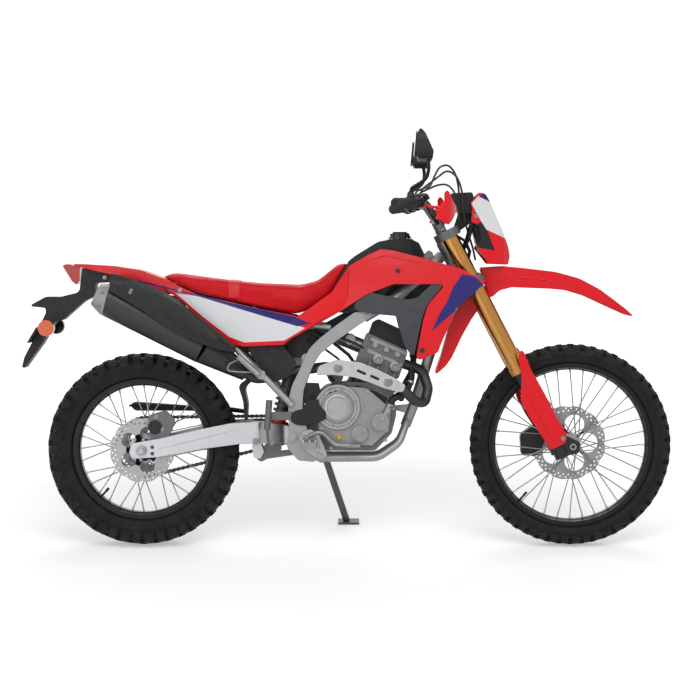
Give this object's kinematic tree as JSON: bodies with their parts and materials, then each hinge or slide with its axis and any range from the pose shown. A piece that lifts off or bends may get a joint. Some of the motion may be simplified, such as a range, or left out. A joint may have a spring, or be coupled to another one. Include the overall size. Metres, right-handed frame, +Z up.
{
  "type": "dual sport motorcycle",
  "caption": "Dual sport motorcycle on its side stand, with spoked wheels, long-travel fork, high fender, flat seat and an open single-cylinder engine.",
  "frame": {"origin": "on the ground under the middle of the whole machine's bounding box", "axes": "+X forward, +Z up, +Y to the rider's left, the side that it leans to"},
  "size_m": [2.2092, 0.8726, 1.4471],
  "materials": {
    "red_plastic": "gloss",
    "white_panel": "gloss",
    "dark_plastic": "matte",
    "seat_cover": "satin",
    "frame_paint": "satin",
    "engine_cast": "satin",
    "engine_black": "satin",
    "alloy": "satin",
    "fork_gold": "satin",
    "steel": "satin",
    "exhaust_black": "satin",
    "black_rim": "satin",
    "tyre": "matte",
    "rubber": "matte",
    "lamp_red": "gloss",
    "lamp_clear": "gloss",
    "amber": "gloss"
  },
  "bodies": {
    "chassis": {"main_frame": "frame_paint", "subframe": "frame_paint", "engine": "engine_cast", "engine_covers": "engine_cast", "head_cover": "engine_black", "header_pipe": "steel", "header_shield": "steel", "muffler": "exhaust_black", "muffler_shield": "dark_plastic", "radiator": "engine_black", "hoses": "rubber", "throttle_body": "engine_cast", "shrouds": "red_plastic", "ducts": "dark_plastic", "tank": "dark_plastic", "fuel_cap": "engine_black", "seat": "seat_cover", "side_covers": "white_panel", "airbox": "dark_plastic", "tail_fender": "red_plastic", "tail_light": "lamp_red", "plate_bracket": "dark_plastic", "indicators": "amber", "inner_fender": "dark_plastic", "swingarm": "alloy", "shock": "red_plastic", "chain": "steel", "chain_guard": "dark_plastic", "rear_brake": "engine_black", "foot_controls": "steel"},
    "steering": {"triple_clamps": "alloy", "fork_outers": "fork_gold", "fork_sliders": "alloy", "fork_guards": "red_plastic", "handlebar": "steel", "grips": "rubber", "controls": "engine_black", "hand_guards": "red_plastic", "mirrors": "dark_plastic", "cables": "rubber", "front_fender": "red_plastic", "cowl": "red_plastic", "headlight": "lamp_clear", "meter": "dark_plastic", "front_brake": "engine_black"},
    "front_wheel": {"front_tyre": "tyre", "front_rim": "black_rim", "front_hub": "steel", "front_disc": "steel"},
    "rear_wheel": {"rear_tyre": "tyre", "rear_rim": "black_rim", "rear_hub": "steel", "rear_disc": "steel", "rear_sprocket": "steel"},
    "side_stand": {"side_stand": "engine_black"}
  },
  "joints": [
    {"name": "steering_turn", "type": "hinge", "parent": "chassis", "child": "steering", "pos_m": [0.36308, -0.05127, 0.96349], "axis": [-0.4617, 0.154, 0.8735], "range_deg": [-45, 45]},
    {"name": "front_wheel_spin", "type": "hinge", "parent": "steering", "child": "front_wheel", "pos_m": [0.762, -0.16114, 0.34039], "axis": [0, 0.9848, -0.1736], "continuous": true},
    {"name": "rear_wheel_spin", "type": "hinge", "parent": "chassis", "child": "rear_wheel", "pos_m": [-0.693, -0.16392, 0.32464], "axis": [0, 0.9848, -0.1736], "continuous": true},
    {"name": "side_stand_swing", "type": "hinge", "parent": "chassis", "child": "side_stand", "pos_m": [-0.083, -0.02986, 0.27866], "axis": [0.1354, 0.9465, 0.2928], "range_deg": [0, 105]}
  ]
}
